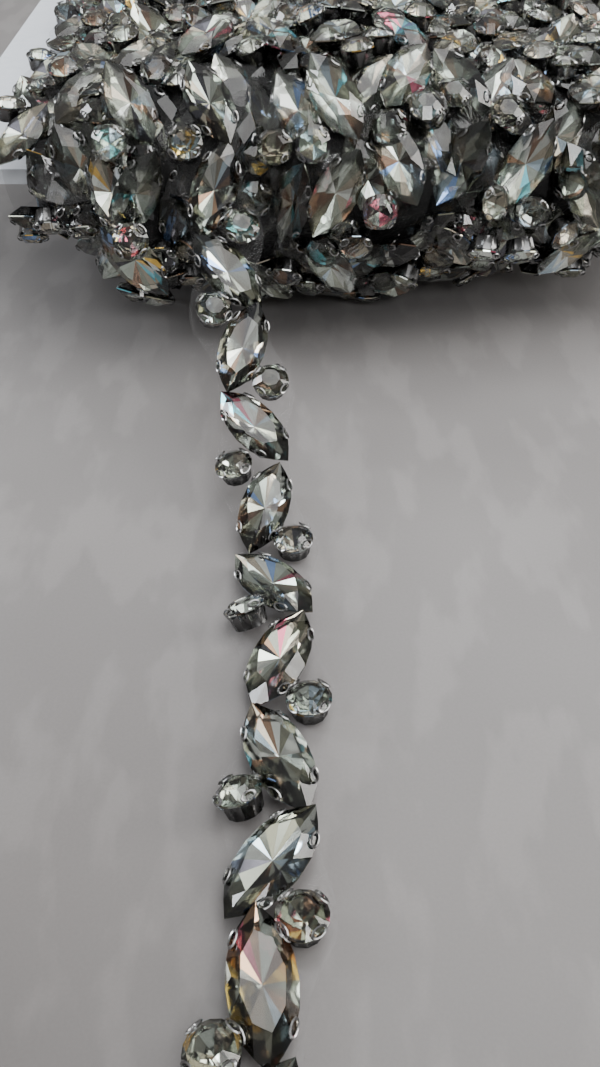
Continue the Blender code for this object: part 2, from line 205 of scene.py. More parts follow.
world = bpy.data.worlds.new("studio")
world.use_nodes = True
bpy.context.scene.world = world
sky_nodes, sky_links = world.node_tree.nodes, world.node_tree.links
direction = sky_nodes.new("ShaderNodeTexCoord").outputs["Generated"]
split = sky_nodes.new("ShaderNodeSeparateXYZ")
sky_links.new(direction, split.inputs["Vector"])
sky = add_ramp(
    sky_nodes,
    sky_links,
    split.outputs["Z"],
    ((0.0, grey(0.17)), (0.25, grey(0.3, 0.012)), (0.6, grey(0.48)), (1.0, grey(0.7))),
)
sky_links.new(sky, sky_nodes["Background"].inputs["Color"])
sky_nodes["Background"].inputs["Strength"].default_value = 1.0

# %% [markdown]
# ## Finishes
# A foiled stone is clear glass in front of a mirror: each facet at the back shows another
# part of the room, so neighbouring facets are white, tan, olive, navy or nearly black.
# Here the front of a stone is real refracting glass and the back is a mirror whose colour
# changes from facet to facet, kept as a colour attribute on the mesh. These colours are
# painted reflections of the room, and the rare bright ones are painted flashes of fire.

# %% Glass and foil
def clear_glass():
    material, _, _, shader = new_material("clear_glass")
    shader.inputs["Base Color"].default_value = (0.965, 0.985, 0.955, 1)
    shader.inputs["Roughness"].default_value = 0.0
    shader.inputs["IOR"].default_value = 1.5
    shader.inputs["Transmission Weight"].default_value = 1.0
    return material


def foil_mirror(name, roughness):
    material, nodes, links, shader = new_material(name)
    # The facet attribute holds painted reflections and painted flashes of fire.
    facet_reflection = nodes.new("ShaderNodeAttribute")
    facet_reflection.attribute_name = "facet"
    links.new(facet_reflection.outputs["Color"], shader.inputs["Base Color"])
    shader.inputs["Metallic"].default_value = 1.0
    shader.inputs["Roughness"].default_value = roughness
    return material


GLASS = clear_glass()
FOIL = foil_mirror("foil_mirror", 0.09)
WOUND_FOIL = foil_mirror("wound_foil_mirror", 0.2)

# %% [markdown]
# The settings are thin stamped metal with a bright silver plate. Its colour is painted
# brightest on the claws and rims and grey to black low in the cup, as painted shade in the
# hollows, so the masters carry a height attribute called rise; the colour follows it, and
# colour and roughness vary with a little noise.

# %% Silver plate
def silver_plate():
    material, nodes, links, shader = new_material("silver_plate")
    rise = nodes.new("ShaderNodeAttribute")
    rise.attribute_name = "rise"
    speck = add_noise(nodes, links, 900, 4)
    mix = nodes.new("ShaderNodeMath")
    mix.operation = "MULTIPLY_ADD"
    links.new(speck, mix.inputs[0])
    mix.inputs[1].default_value = 0.35
    links.new(rise.outputs["Fac"], mix.inputs[2])
    # Painted shade: the plate is darker low in the cup and lighter towards the claws and rims.
    stops = ((0.15, grey(0.05)), (0.6, grey(0.12)), (0.9, grey(0.18)), (1.0, grey(0.3)))
    links.new(add_ramp(nodes, links, mix.outputs["Value"], stops), shader.inputs["Base Color"])
    rough = add_ramp(nodes, links, speck, ((0.3, grey(0.14)), (0.7, grey(0.32))))
    links.new(rough, shader.inputs["Roughness"])
    shader.inputs["Metallic"].default_value = 1.0
    return material


def clear_film(name, value, alpha):
    material, nodes, links, shader = new_material(name)
    wave = add_noise(nodes, links, 160, 2)
    shader.inputs["Base Color"].default_value = grey(value)
    shader.inputs["Roughness"].default_value = 0.08
    shader.inputs["Alpha"].default_value = alpha
    shader.inputs["IOR"].default_value = 1.5
    shader.inputs["Coat Weight"].default_value = 0.6
    shader.inputs["Coat Roughness"].default_value = 0.03
    add_bump(nodes, links, shader, wave, 0.5, 0.6 * MM)
    return material


def white_board():
    material, nodes, links, shader = new_material("white_board")
    fibre = add_noise(nodes, links, 420, 6)
    stops = ((0.3, (0.80, 0.85, 0.92, 1)), (0.7, (0.86, 0.90, 0.96, 1)))
    links.new(add_ramp(nodes, links, fibre, stops), shader.inputs["Base Color"])
    shader.inputs["Roughness"].default_value = 0.42
    add_bump(nodes, links, shader, fibre, 0.15, 0.1 * MM)
    return material


def inner_turns():
    material, nodes, links, shader = new_material("inner_turns")
    lump = add_noise(nodes, links, 220, 3)
    # Near black: painted shade in the gaps between the outer stones, with a few lighter lumps.
    stops = ((0.35, grey(0.01)), (0.6, grey(0.04)), (0.75, grey(0.22)))
    links.new(add_ramp(nodes, links, lump, stops), shader.inputs["Base Color"])
    shader.inputs["Metallic"].default_value = 0.8
    shader.inputs["Roughness"].default_value = 0.35
    add_bump(nodes, links, shader, lump, 1.0, 1.5 * MM)
    return material


SILVER = silver_plate()
# The film on the roll and its flap are painted darker than the loose film, as painted shade from the
# dark roll behind them. The flap's film is also less clear.
LOOSE_FILM = clear_film("loose_clear_film", 0.4, 0.025)
WOUND_FILM = clear_film("wound_clear_film", 0.08, 0.06)
SHADED_CLOUDED_FILM = clear_film("clouded_film", 0.03, 0.3)

# %% [markdown]
# ## One stone of each kind
# A cut stone starts as a short cylinder, which is its widest edge. Its top face is
# extruded up and in to the flat table, and every second edge of the table is collapsed, so
# that the slopes become alternate kites and triangles, as a cutter leaves them. The back
# is drawn down to a keel in the same way. The pointed oval is the same cylinder stretched,
# with its two end corners pulled out to points.

# %% Edit helpers
def pick(obj, kind, test):
    """Selects the points, edges or faces of the mesh that pass the test, in edit mode."""
    bpy.ops.object.mode_set(mode="OBJECT")
    mesh = obj.data
    for items in (mesh.vertices, mesh.edges, mesh.polygons):
        items.foreach_set("select", [False] * len(items))
    chosen = {"VERT": mesh.vertices, "EDGE": mesh.edges, "FACE": mesh.polygons}[kind]
    for item in chosen:
        item.select = bool(test(item))
    bpy.ops.object.mode_set(mode="EDIT")
    bpy.context.tool_settings.mesh_select_mode = (kind == "VERT", kind == "EDGE", kind == "FACE")


def faces_up(face):
    return face.normal.z > 0.9


def faces_down(face):
    return face.normal.z < -0.9


def extrude_face(by, scale):
    """Extrudes what is selected along Z and scales its new end."""
    bpy.ops.mesh.extrude_region_move(TRANSFORM_OT_translate={"value": (0, 0, by)})
    bpy.ops.transform.resize(value=(scale, scale, 1))


def collapse_every_second_edge(obj, height, first):
    """Joins the ends of every second edge of the ring at this height."""
    ring = {}

    def at_height(edge):
        ends = [obj.data.vertices[i].co for i in edge.vertices]
        return all(abs(end.z - height) < 2 * TINY for end in ends)

    bpy.ops.object.mode_set(mode="OBJECT")
    for edge in obj.data.edges:
        if at_height(edge):
            middle = sum((obj.data.vertices[i].co for i in edge.vertices), Vector()) / 2
            ring[edge.index] = math.atan2(middle.y, middle.x)
    order = sorted(ring, key=ring.get)
    chosen = set(order[first::2])
    bpy.ops.object.mode_set(mode="EDIT")
    pick(obj, "EDGE", lambda edge: edge.index in chosen)
    bpy.ops.mesh.merge(type="COLLAPSE")


def finish_master(obj):
    bpy.ops.object.mode_set(mode="EDIT")
    bpy.ops.mesh.select_all(action="SELECT")
    bpy.ops.mesh.normals_make_consistent(inside=False)
    bpy.ops.object.mode_set(mode="OBJECT")
    return obj


# %% Sizes of the two cuts
# Columns: half length, half width, height of the widest edge, of the table and of the keel
OVAL = (8.5 * MM, 3.95 * MM, 2.4 * MM, 3.95 * MM, 0.3 * MM)
ROUND = (3.15 * MM, 3.15 * MM, 3.0 * MM, 4.25 * MM, 0.3 * MM)
EDGE_THICKNESS = 0.22 * MM
TIP_SHARE = 0.88
BACK_STEP = 0.28
BACK_SHARE = 0.74


def add_girdle(name, corners, half_length, half_width, low, high):
    """A short cylinder of this half length and half width, pointed where it is an oval."""
    pointed = half_length > half_width
    first = math.pi / 2 if pointed else math.pi / 2 + math.pi / corners
    bpy.ops.object.select_all(action="DESELECT")
    bpy.ops.mesh.primitive_cylinder_add(
        vertices=corners,
        radius=1,
        depth=high - low,
        location=(0, 0, (high + low) / 2),
        rotation=(0, 0, first),
    )
    obj = bpy.context.object
    obj.name = name
    bpy.ops.object.transform_apply(location=True, rotation=True, scale=True)
    bpy.ops.object.mode_set(mode="EDIT")
    share = TIP_SHARE if pointed else 1
    bpy.ops.transform.resize(value=(half_length * share, half_width, 1))
    if pointed:
        tip = half_length * share - TINY
        pick(obj, "VERT", lambda v: abs(v.co.x) > tip)
        bpy.ops.transform.resize(value=(1 / share, 1, 1))
    return obj


# %% Cut stones
def number_facets(mesh):
    """Numbers the facets by their place, as Blender's own order may change between runs."""
    centres = np.empty(3 * len(mesh.polygons), np.float32)
    mesh.polygons.foreach_get("center", centres)
    order = np.lexsort(np.round(centres.reshape(-1, 3) / MM, 3).T)
    numbers = np.empty(len(order), np.int32)
    numbers[order] = np.arange(len(order))
    mesh.attributes.new("facet_number", "INT", "FACE").data.foreach_set("value", numbers)


def cut_stone(name, corners, cut, table_share, foil):
    half_length, half_width, edge, table, keel = cut
    low = edge - EDGE_THICKNESS
    first_step = (keel - low) * BACK_STEP
    obj = add_girdle(name, corners, half_length, half_width, low, edge)
    pick(obj, "FACE", faces_up)
    extrude_face(table - edge, table_share)
    collapse_every_second_edge(obj, table, 0)
    pick(obj, "FACE", faces_down)
    extrude_face(first_step, BACK_SHARE)
    collapse_every_second_edge(obj, low + first_step, 1)
    pick(obj, "FACE", faces_down)
    extrude_face(keel - low - first_step, 1)
    bpy.ops.mesh.merge(type="CENTER")
    finish_master(obj)
    obj.data.materials.append(GLASS)
    obj.data.materials.append(foil)
    for face in obj.data.polygons:
        face.material_index = 0 if face.center.z > edge + TINY else 1
    number_facets(obj.data)
    return obj


oval_stone = cut_stone("oval_stone_master", 12, OVAL, 0.62, WOUND_FOIL)
round_stone = cut_stone("round_stone_master", 12, ROUND, 0.52, WOUND_FOIL)
fine_oval_stone = cut_stone("fine_oval_stone_master", 16, OVAL, 0.66, FOIL)
fine_round_stone = cut_stone("fine_round_stone_master", 16, ROUND, 0.52, FOIL)
STONES = {"oval": oval_stone, "round": round_stone}
FINE_STONES = {"oval": fine_oval_stone, "round": fine_round_stone}
print("facets of an oval stone:", len(oval_stone.data.polygons))

# %% [markdown]
# ## One setting of each kind
# A setting is a thin cup with a slotted wall, hidden under the stone, and four claws. Each
# claw is a strip that ends in a flat loop, folded over the stone's edge. The wall's slots
# are insets pushed inwards. A loop is a small torus, flattened and laid on the stone's slope.

# %% Settings
CUP_FOOT = 0.12 * MM
CUP_WALL = 0.12 * MM
CUP_FLOOR = 0.08 * MM
CUP_DROP = 0.3 * MM
CUP_INSIDE = (0.45 * MM, 0.3 * MM)
CUP_TAPER = {"round": 0.86, "oval": 0.62}
CUP_FLOOR_INSET = 0.06
SLOT_BORDER = 0.36 * MM
SLOT_DEPTH = 0.16 * MM
CLAW_SIZE = (0.2 * MM, 0.9 * MM, 0.9 * MM)
CLAW_SET_IN = 0.5 * MM
CLAW_TOP_SHARE = 0.8
CLAW_PLACE = (0.12 * MM, 0, -0.42 * MM)
CLAW_TURN = 0.42
LOOP_RADIUS = 0.74 * MM
LOOP_WIRE = 0.17 * MM
LOOP_SHARES = (0.72, 1.3, 0.8)
LOOP_SET_IN = 0.24 * MM
LOOP_LIFT = 0.5 * MM
LOOP_SLOPE = math.radians(46)
FINE_LOOP = (10, 5)
WOUND_LOOP = (6, 3)
HALF_SQUARE = math.sqrt(0.5)
OVAL_CLAWS = ((0.56, 1), (-0.56, 1), (0.56, -1), (-0.56, -1))
ROUND_CLAWS = tuple((x * HALF_SQUARE, y * HALF_SQUARE) for x in (1, -1) for y in (1, -1))


def add_claw(edge, outward, loop_steps):
    """A looped claw: a stem up past the stone's edge, and a flat loop folded over it."""
    turn = math.atan2(outward.y, outward.x)
    bpy.ops.object.select_all(action="DESELECT")
    bpy.ops.mesh.primitive_torus_add(
        major_segments=loop_steps[0],
        minor_segments=loop_steps[1],
        major_radius=LOOP_RADIUS,
        minor_radius=LOOP_WIRE,
    )
    loop = bpy.context.object
    bpy.ops.object.mode_set(mode="EDIT")
    bpy.ops.mesh.select_all(action="SELECT")
    bpy.ops.transform.resize(value=LOOP_SHARES)
    bpy.ops.object.mode_set(mode="OBJECT")
    bpy.ops.mesh.primitive_cube_add(size=1, location=(0, 0, 0))
    stem = bpy.context.object
    stem.scale = CLAW_SIZE
    bpy.ops.object.transform_apply(location=False, rotation=False, scale=True)
    bpy.ops.object.mode_set(mode="EDIT")
    pick(stem, "FACE", faces_down)
    bpy.ops.transform.translate(value=(-CLAW_SET_IN, 0, 0))
    pick(stem, "FACE", faces_up)
    bpy.ops.transform.resize(value=(1, CLAW_TOP_SHARE, 1))
    bpy.ops.object.mode_set(mode="OBJECT")
    loop.data.transform(Matrix.Rotation(LOOP_SLOPE, 4, "Y"))
    loop.data.transform(Matrix.Translation((-LOOP_SET_IN, 0, LOOP_LIFT)))
    stem.data.transform(Matrix.Translation(CLAW_PLACE))
    place = Matrix.Translation(edge) @ Matrix.Rotation(turn, 4, "Z")
    for piece in (loop, stem):
        piece.data.transform(place)
    return loop, stem


def join_all(name, pieces):
    bpy.ops.object.select_all(action="DESELECT")
    for piece in pieces:
        piece.select_set(True)
    bpy.context.view_layer.objects.active = pieces[0]
    bpy.ops.object.join()
    pieces[0].name = name
    return pieces[0]


def claw_cup(name, cut, claw_places, loop_steps):
    """A cup with its claws; without loop steps it is the plain cup of a buried turn."""
    half_length, half_width, edge = cut[:3]
    pointed = half_length > half_width
    high = edge - EDGE_THICKNESS - CUP_DROP
    outer = (half_length - CUP_INSIDE[0], half_width - CUP_INSIDE[1])
    obj = add_girdle(name, 12, *outer, CUP_FOOT, high)
    pick(obj, "FACE", faces_down)
    taper = CUP_TAPER["oval" if pointed else "round"]
    bpy.ops.transform.resize(value=(taper, taper, 1))
    if loop_steps == FINE_LOOP:
        pick(obj, "FACE", lambda f: abs(f.normal.z) < 0.5)
        bpy.ops.mesh.inset(thickness=SLOT_BORDER, depth=-SLOT_DEPTH, use_individual=True)
    pick(obj, "FACE", faces_up)
    bpy.ops.mesh.inset(thickness=CUP_WALL)
    extrude_face(CUP_FOOT + CUP_FLOOR - high, taper - CUP_FLOOR_INSET)
    finish_master(obj)
    claws = []
    for x, y in claw_places if loop_steps else ():
        foot = Vector((x * half_length, y * half_width, edge))
        outward = Vector((x, y, 0))
        if pointed:
            foot.y = math.copysign(half_width * math.sqrt(1 - (x / TIP_SHARE) ** 2), y)
            outward = Vector((CLAW_TURN * math.copysign(1, x), y, 0))
        claws.extend(add_claw(foot, outward, loop_steps))
    obj = join_all(name, [obj, *claws])
    bpy.ops.object.shade_smooth_by_angle(angle=math.radians(35))
    obj.data.materials.append(SILVER)
    # Height share of each point, which the silver's painted shade follows.
    rise = obj.data.attributes.new("rise", "FLOAT", "POINT")
    for vertex in obj.data.vertices:
        rise.data[vertex.index].value = vertex.co.z / (edge + LOOP_LIFT)
    return obj


fine_oval_cup = claw_cup("fine_oval_cup_master", OVAL, OVAL_CLAWS, FINE_LOOP)
fine_round_cup = claw_cup("fine_round_cup_master", ROUND, ROUND_CLAWS, FINE_LOOP)
oval_cup = claw_cup("oval_cup_master", OVAL, OVAL_CLAWS, WOUND_LOOP)
round_cup = claw_cup("round_cup_master", ROUND, ROUND_CLAWS, WOUND_LOOP)
plain_oval_cup = claw_cup("plain_oval_cup_master", OVAL, (), None)
plain_round_cup = claw_cup("plain_round_cup_master", ROUND, (), None)
CUPS = {"oval": oval_cup, "round": round_cup}
FINE_CUPS = {"oval": fine_oval_cup, "round": fine_round_cup}
PLAIN_CUPS = {"oval": plain_oval_cup, "round": plain_round_cup}
print("faces of an oval setting:", len(fine_oval_cup.data.polygons))

# %% [markdown]
# ## Where the stones sit on the roll
# The roll's section is a flat card with rounded ends. The outline below is the one that
# the solids were built on, so the stones land on them. Each inner layer is the same
# outline drawn in by the height of one layer. A length along the outline gives a point,
# the way the turn runs there and the way out of the roll.

# %% Outline of a layer
CARD_HALF = (60 * MM, 1.8 * MM)
MIDDLE_HEIGHT = 27.5 * MM
FILM_HALF_THICKNESS = 23 * MM
FLAT_HALF_DEPTH = 54 * MM
END_REACH = 28 * MM
UPPER_FULLNESS = 2.3
LOWER_FULLNESS = 1.5
WINDING_WIDTH = 140 * MM
COURSES = 12
COURSE_WIDTH = WINDING_WIDTH / COURSES
TURN_SWAY = 1.0 * MM
TURN_RISE = 1.1 * MM
SECTION_POINTS = 121
RUN_REACH = 2 * MM

# Columns: x in millimetres, share of the full thickness that is wound on the card there
BARREL = (
    (-70, 0.30),
    (-60, 0.38),
    (-48, 0.62),
    (-36, 0.91),
    (-22, 1.0),
    (2, 0.98),
    (16, 0.84),
    (34, 0.72),
    (48, 0.62),
    (60, 0.50),
    (70, 0.38),
)


def outer_section():
    """The outermost film's section where the winding is fullest."""
    front = []
    for turn in np.linspace(-math.pi / 2, math.pi / 2, SECTION_POINTS):
        power = 2 / (UPPER_FULLNESS if turn > 0 else LOWER_FULLNESS)
        reach = END_REACH * abs(math.cos(turn)) ** power
        rise = FILM_HALF_THICKNESS * math.copysign(abs(math.sin(turn)) ** power, math.sin(turn))
        front.append((-FLAT_HALF_DEPTH - reach, MIDDLE_HEIGHT + rise))
    back = [(-y, z) for y, z in reversed(front)]
    start = (0.0, MIDDLE_HEIGHT - FILM_HALF_THICKNESS)
    return np.array([start, *front, *back, start])


SECTION = outer_section()
CORE_SHARE = 0.03


class Turn:
    """One turn's section at this x, this far in, with true lengths along it."""

    def __init__(self, x, inset):
        self.inset = inset
        share = np.interp(x / MM, [row[0] for row in BARREL], [row[1] for row in BARREL])
        self.share = max(float(share) - inset / FILM_HALF_THICKNESS, CORE_SHARE)
        flattened = (SECTION[:, 1] - MIDDLE_HEIGHT) * CARD_HALF[1] / FILM_HALF_THICKNESS
        core_y = np.clip(SECTION[:, 0], -CARD_HALF[0], CARD_HALF[0])
        core = np.stack([core_y, MIDDLE_HEIGHT + flattened], axis=1)
        self.points = core + (SECTION - core) * self.share
        steps = np.hypot(*np.diff(self.points, axis=0).T)
        self.lengths = np.concatenate([[0.0], np.cumsum(steps)])
        self.round = float(self.lengths[-1])

    def stones(self):
        """How many stones of each kind the turn carries."""
        return round(self.round / PITCH)

    def point(self, along):
        along = along % self.round
        y = np.interp(along, self.lengths, self.points[:, 0])
        z = np.interp(along, self.lengths, self.points[:, 1])
        return Vector((0, y, z))

    def place(self, along):
        """The point, the way the turn runs and the way out."""
        run = (self.point(along + RUN_REACH) - self.point(along - RUN_REACH)).normalized()
        return self.point(along), run, Vector((0, -run.z, run.y))


SLACK_X = -42 * MM
SLACK_HEIGHT = 20 * MM
SLACK_REACH = 6 * MM
SLACK_SPREAD = 7 * MM


def turn_sway(share, x):
    """How far a turn wanders sideways at this share of its round; x is in metres."""
    wave = 2 * math.pi * share
    return TURN_SWAY * math.sin(2 * wave + 55 * x) * math.cos(wave - 31 * x)


def turn_rise(share, x, point):
    """How far a turn stands out or sinks here; one slack turn hangs out low at the front."""
    wave = 2 * math.pi * share
    ripple = 0.6 * math.sin(wave + 140 * x) + 0.4 * math.sin(3 * wave - 230 * x + 1)
    low_front = point.y < -FLAT_HALF_DEPTH and point.z < MIDDLE_HEIGHT
    off = math.hypot(x - SLACK_X, point.z - SLACK_HEIGHT) / SLACK_SPREAD
    return TURN_RISE * ripple + (SLACK_REACH * math.exp(-(off**2)) if low_front else 0.0)


# %% The loose end's line
# Columns: x, y and z of the film's middle line, in millimetres
LOOSE_ROUTE = (
    (-26.8, -62.6, 49.1),
    (-27.4, -71.5, 46.2),
    (-27.5, -77.6, 41.9),
    (-27.2, -82.3, 35.4),
    (-26.2, -88.0, 28.8),
    (-24.4, -95.4, 21.8),
    (-22.0, -104.0, 15.4),
    (-20.4, -113.0, 9.8),
    (-18.6, -123.0, 4.6),
    (-17.4, -133.0, 1.6),
    (-16.2, -144.0, 0.5),
    (-14.8, -157.0, 0.5),
    (-14.6, -174.0, 0.5),
    (-15.2, -192.0, 0.5),
    (-16.4, -208.0, 0.5),
    (-16.6, -228.0, 0.5),
)
PITCH = 14.6 * MM
LEAN = math.radians(28)
ROUND_OFFSET = 3.9 * MM
FIRST_STONE = 11.5 * MM
LOOSE_OVALS = 12
BED_HALF_WIDTH = 9.9 * MM
BED_BACK = -58.6 * MM
BED_LOWEST = 22 * MM
BED_MARGIN = 1.6 * MM


def bed_middle(y):
    return np.interp(-y, [-row[1] * MM for row in LOOSE_ROUTE], [row[0] * MM for row in LOOSE_ROUTE])


def in_bed(point, margin=0.0):
    near = abs(point.x - bed_middle(point.y)) < BED_HALF_WIDTH + margin
    return point.y < BED_BACK and point.z > BED_LOWEST and near


# %% [markdown]
# ## The wound courses
# Turns wound by hand wander, ride over each other and tip, so every stone gets its own
# small tilt and every course starts at its own place in the zigzag. Three layers are made
# all over. The middle one is shifted by half a course, so its stones fill the gaps of the
# outer one. The innermost one is mostly hidden, so its settings are plain cups.

# %% Copies of a master
chance = np.random.default_rng(11)


def tipped(spread, most):
    angle = np.clip(chance.normal(0, spread), -most, most)
    return math.radians(float(angle))


def copy_of(master, place):
    """A copy with its own mesh, put in place in the mesh itself."""
    mesh = master.data.copy()
    mesh.transform(place)
    obj = bpy.data.objects.new(master.name + "_copy", mesh)
    bpy.context.scene.collection.objects.link(obj)
    return obj


def frame_matrix(origin, long_way, up):
    across = up.cross(long_way)
    return Matrix.Translation(origin) @ Matrix((long_way, across, up)).transposed().to_4x4()


def tilt(roll, pitch):
    return Matrix.Rotation(roll, 4, "X") @ Matrix.Rotation(pitch, 4, "Y")


def kept_above(place, *pieces):
    """The place, raised until no point of the pieces lies under the surface."""
    lowest = min((place @ vertex.co).z for piece in pieces for vertex in piece.data.vertices)
    return Matrix.Translation((0, 0, max(0.0, 0.1 * MM - lowest))) @ place


# %% Wound stones and settings
# Columns: how far in the layer lies, its shift along the card in courses, how many courses
WOUND_LAYERS = (
    (0.0 * MM, 0.0, COURSES),
    (2.6 * MM, 0.5, COURSES - 1),
    (5.4 * MM, 0.0, COURSES),
)
THINNEST = 0.12
FORWARD_LEAN = 0.12
BURIED = 4 * MM
BED_SINK = 2.2 * MM
STONE_TIP = (14, 36)
STONE_LIFT = {"oval": 0.1 * MM, "round": 1.0 * MM}
STONE_SINK = 0.25 * MM
STONE_RISES = (-0.3, 0.5)
copies = {"oval_stone": [], "round_stone": [], "oval_cup": [], "round_cup": []}


def wound_turns():
    """Every turn of the three layers, with its course and the course's middle."""
    for inset, course_shift, courses in WOUND_LAYERS:
        for course in range(courses):
            x = (course + 0.5 + course_shift) * COURSE_WIDTH - WINDING_WIDTH / 2
            turn = Turn(x, inset)
            if turn.share >= THINNEST:
                yield course, x, turn


def put_wound(kind, along, x, sideways, lean, turn):
    """Puts one stone with its setting on a layer, unless the loose end lies there."""
    point, run, out = turn.place(along)
    share = along / turn.round
    middle = Vector((x, 0, 0)) + point
    if turn.inset == 0 and in_bed(middle, BED_MARGIN):
        return
    over = turn_rise(share, x, point) - STONE_SINK + chance.uniform(*STONE_RISES) * MM
    if turn.inset < BURIED and in_bed(middle):
        over -= BED_SINK
    right = Vector((1, 0, 0))
    origin = middle + right * (sideways + turn_sway(share, x)) + out * over
    up = (out + Vector((0, -FORWARD_LEAN, 0)) * max(out.z, 0)).normalized()
    long_way = run * math.cos(lean) + right * math.sin(lean)
    long_way = (long_way - up * long_way.dot(up)).normalized()
    place = frame_matrix(origin, long_way, up)
    lift = Matrix.Translation((0, 0, STONE_LIFT[kind]))
    place = place @ tilt(tipped(*STONE_TIP), tipped(*STONE_TIP)) @ lift
    stone = STONES[kind]
    cup = (PLAIN_CUPS if turn.inset > BURIED else CUPS)[kind]
    place = kept_above(place, stone, cup)
    copies[kind + "_stone"].append(copy_of(stone, place))
    copies[kind + "_cup"].append(copy_of(cup, place))


for course, x, turn in wound_turns():
    step = turn.round / turn.stones()
    shift = chance.uniform(0, 1) * step
    for stone in range(turn.stones()):
        side = 1 if (stone + course) % 2 else -1
        along = shift + stone * step
        put_wound("oval", along + step / 2, x, 0.0, side * LEAN, turn)
        put_wound("round", along, x, side * ROUND_OFFSET, 0.0, turn)

# %% Stray stones
# Columns: kind, x, y and z in millimetres, the way out of the stone, its long way
STRAY_ROWS = (
    ("round", -59.5, -73.5, 27.0, (0.05, -0.60, -0.80), (1, 0.1, -0.05)),
    ("round", -53.0, -74.5, 26.5, (0.10, -0.62, -0.78), (1, -0.1, 0.05)),
    ("round", 21.5, -84.0, 27.0, (-0.10, -0.55, -0.83), (1, 0.0, 0.0)),
    ("round", 28.0, -83.0, 26.0, (0.10, -0.60, -0.80), (1, 0.2, 0.0)),
    ("oval", -46.0, -76.5, 31.5, (-0.10, -0.85, 0.50), (0.30, -0.45, -0.85)),
    ("oval", -41.5, -86.5, 24.5, (0.0, -0.80, 0.05), (0.62, 0.10, -0.76)),
    ("round", -41.5, -88.5, 28.0, (0.05, -0.80, 0.50), (1, 0, 0)),
)


def put_stray(kind, x, y, z, out, long_way):
    """A stone that twisted over with its film, so that its slotted cup shows."""
    up = Vector(out).normalized()
    long_way = Vector(long_way)
    long_way = (long_way - up * long_way.dot(up)).normalized()
    place = frame_matrix(Vector((x, y, z)) * MM, long_way, up)
    copies[kind + "_stone"].append(copy_of(FINE_STONES[kind], place))
    copies[kind + "_cup"].append(copy_of(FINE_CUPS[kind], place))


for row in STRAY_ROWS:
    put_stray(*row)
print("stones on the roll:", len(copies["oval_stone"]) + len(copies["round_stone"]))

# %% Paint reflections on the facets and join each kind
# Painted reflections: each row stands for a part of the room that a facet mirrors; the rare
# saturated rows are painted flashes of fire.
# Columns: share of facets, red, green and blue
FACET_REFLECTION_TINTS = (
    (0.15, 0.90, 0.93, 0.89),
    (0.20, 0.62, 0.68, 0.62),
    (0.15, 0.56, 0.50, 0.41),
    (0.16, 0.39, 0.41, 0.35),
    (0.12, 0.29, 0.29, 0.22),
    (0.07, 0.09, 0.09, 0.11),
    (0.06, 0.22, 0.14, 0.10),
    (0.06, 0.60, 0.74, 0.86),
    (0.04, 0.46, 0.29, 0.19),
    (0.02, 0.34, 0.52, 0.92),
    (0.014, 0.30, 0.84, 1.00),
    (0.016, 1.00, 0.66, 0.18),
    (0.012, 0.90, 0.24, 0.36),
)
# Brightness of the painted reflections: painted shade, dimmer on the loose stones than on the wound
# ones.
WOUND_REFLECTION_DIM = 0.84
LOOSE_REFLECTION_DIM = 0.66


def paint_facet_reflections(obj, depth):
    """Gives every facet a painted reflection of its own, drawn from the shares above; depth dims
    them.
    """
    mesh = obj.data
    shares = np.array([row[0] for row in FACET_REFLECTION_TINTS])
    reflection_tints = np.array([(*[part * depth for part in row[1:]], 1.0) for row in FACET_REFLECTION_TINTS])
    drawn = chance.choice(len(reflection_tints), size=len(mesh.polygons), p=shares / shares.sum())
    totals = np.empty(len(mesh.polygons), np.int32)
    mesh.polygons.foreach_get("loop_total", totals)
    numbers = np.empty(len(mesh.polygons), np.int32)
    mesh.attributes["facet_number"].data.foreach_get("value", numbers)
    colour = mesh.color_attributes.new("facet", "FLOAT_COLOR", "CORNER")
    colour.data.foreach_set("color", np.repeat(reflection_tints[drawn[numbers]], totals, axis=0).ravel())


for kind in ("oval_stone", "round_stone"):
    for stone in copies[kind]:
        paint_facet_reflections(stone, WOUND_REFLECTION_DIM)
wound = {}
for kind, pieces in copies.items():
    wound[kind] = join_all("wound_" + kind + "s", pieces)
for kind, obj in wound.items():
    print(obj.name, "faces:", len(obj.data.polygons))

# %% [markdown]
# ## The clear film
# The film is a narrow clear strip trimmed in scallops round the stones. Each turn is a
# strip whose points follow the outline, given its thickness by Solidify.

# %% Film strips
FILM_THICKNESS = 0.3 * MM
FILM_NARROW = 4.9 * MM
FILM_BULGE = 3.0 * MM
BED_FILM_SINK = 2.3 * MM
LOWEST_FILM = 0.2 * MM
STEPS_PER_STONE = 6
WOUND_CURL = 0.5 * MM
LOOSE_CURL = 0.35 * MM
LOOSE_STEP = 1.2 * MM


def scallop(joint, side):
    """How far the film reaches on this side, at a place counted in joints of the zigzag."""
    phase = 0.0 if side < 0 else 0.5
    nearness = 0.5 + 0.5 * math.cos(math.pi * (joint - 2 * phase))
    return FILM_NARROW + FILM_BULGE * nearness**2


def strip_mesh(name, rows, closed):
    """A strip from rows of points: a grid primitive of that size, with its points moved."""
    across = len(rows[0])
    bpy.ops.object.select_all(action="DESELECT")
    bpy.ops.mesh.primitive_grid_add(x_subdivisions=across - 1, y_subdivisions=len(rows) - 1, size=1)
    obj = bpy.context.object
    obj.name = name
    points = [point for row in rows for point in row]
    for vertex, point in zip(obj.data.vertices, points):
        vertex.co = point
    if closed:
        bpy.ops.object.mode_set(mode="EDIT")
        bpy.ops.mesh.select_all(action="SELECT")
        bpy.ops.mesh.remove_doubles(threshold=TINY)
        bpy.ops.object.mode_set(mode="OBJECT")
    solid = obj.modifiers.new("thickness", "SOLIDIFY")
    solid.thickness = FILM_THICKNESS
    solid.offset = 0
    bpy.ops.object.modifier_apply(modifier=solid.name)
    bpy.ops.object.shade_smooth_by_angle(angle=math.radians(40))
    return obj


